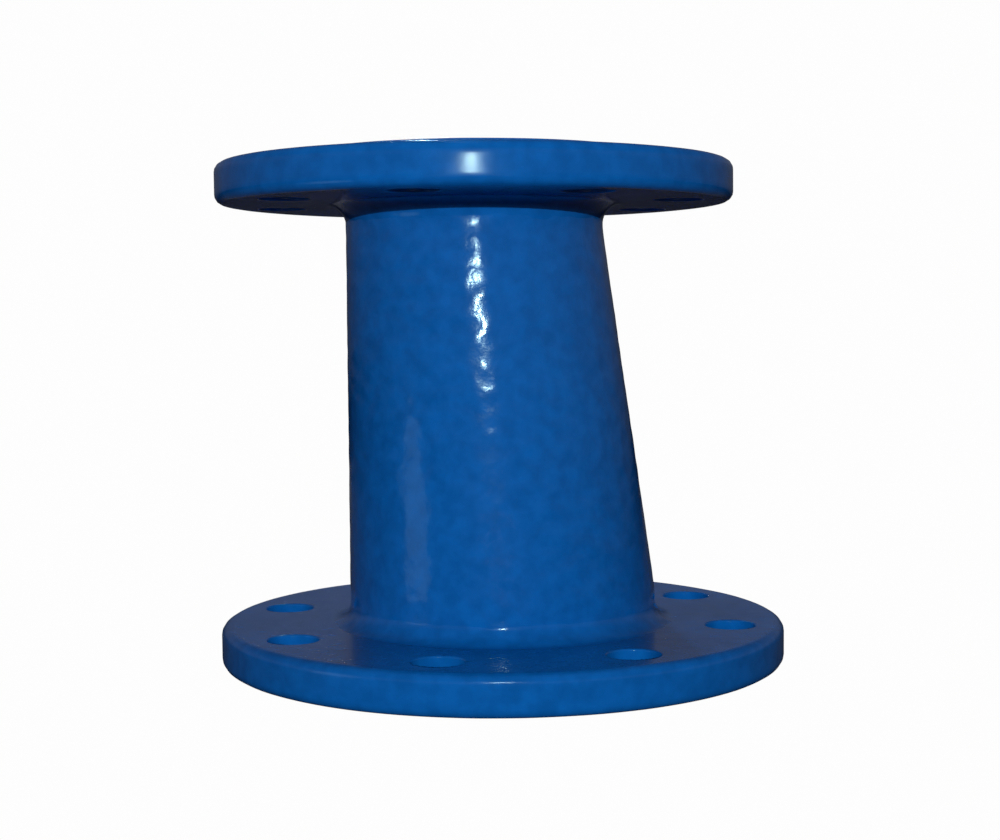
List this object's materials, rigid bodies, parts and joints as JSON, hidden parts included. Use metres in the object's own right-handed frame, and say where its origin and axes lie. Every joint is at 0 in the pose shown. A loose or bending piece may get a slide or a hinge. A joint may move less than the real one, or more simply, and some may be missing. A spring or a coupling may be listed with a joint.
{
  "type": "flanged eccentric reducer",
  "caption": "Double-flanged eccentric taper for water pipework: thick cast barrel with one straight side, drilled flanges, raised gasket faces, glossy blue epoxy coat.",
  "frame": {"origin": "centre of the large end's gasket face, on the axis of the large bore", "axes": "+Z from the large flange to the small flange along the flow; -X is the barrel's straight (flat) side, so the small end is set over towards -X; +Y completes the right-handed frame and is normal to the part's plane of symmetry"},
  "size_m": [0.22, 0.22, 0.2],
  "materials": {
    "barrel_coat": "gloss",
    "flange_coat": "gloss",
    "weld_coat": "gloss"
  },
  "bodies": {
    "root": {"eccentric_barrel": "barrel_coat", "large_flange": "flange_coat", "small_flange": "flange_coat", "large_back_weld": "weld_coat", "small_back_weld": "weld_coat", "large_face_weld": "weld_coat", "small_face_weld": "weld_coat"}
  },
  "joints": []
}
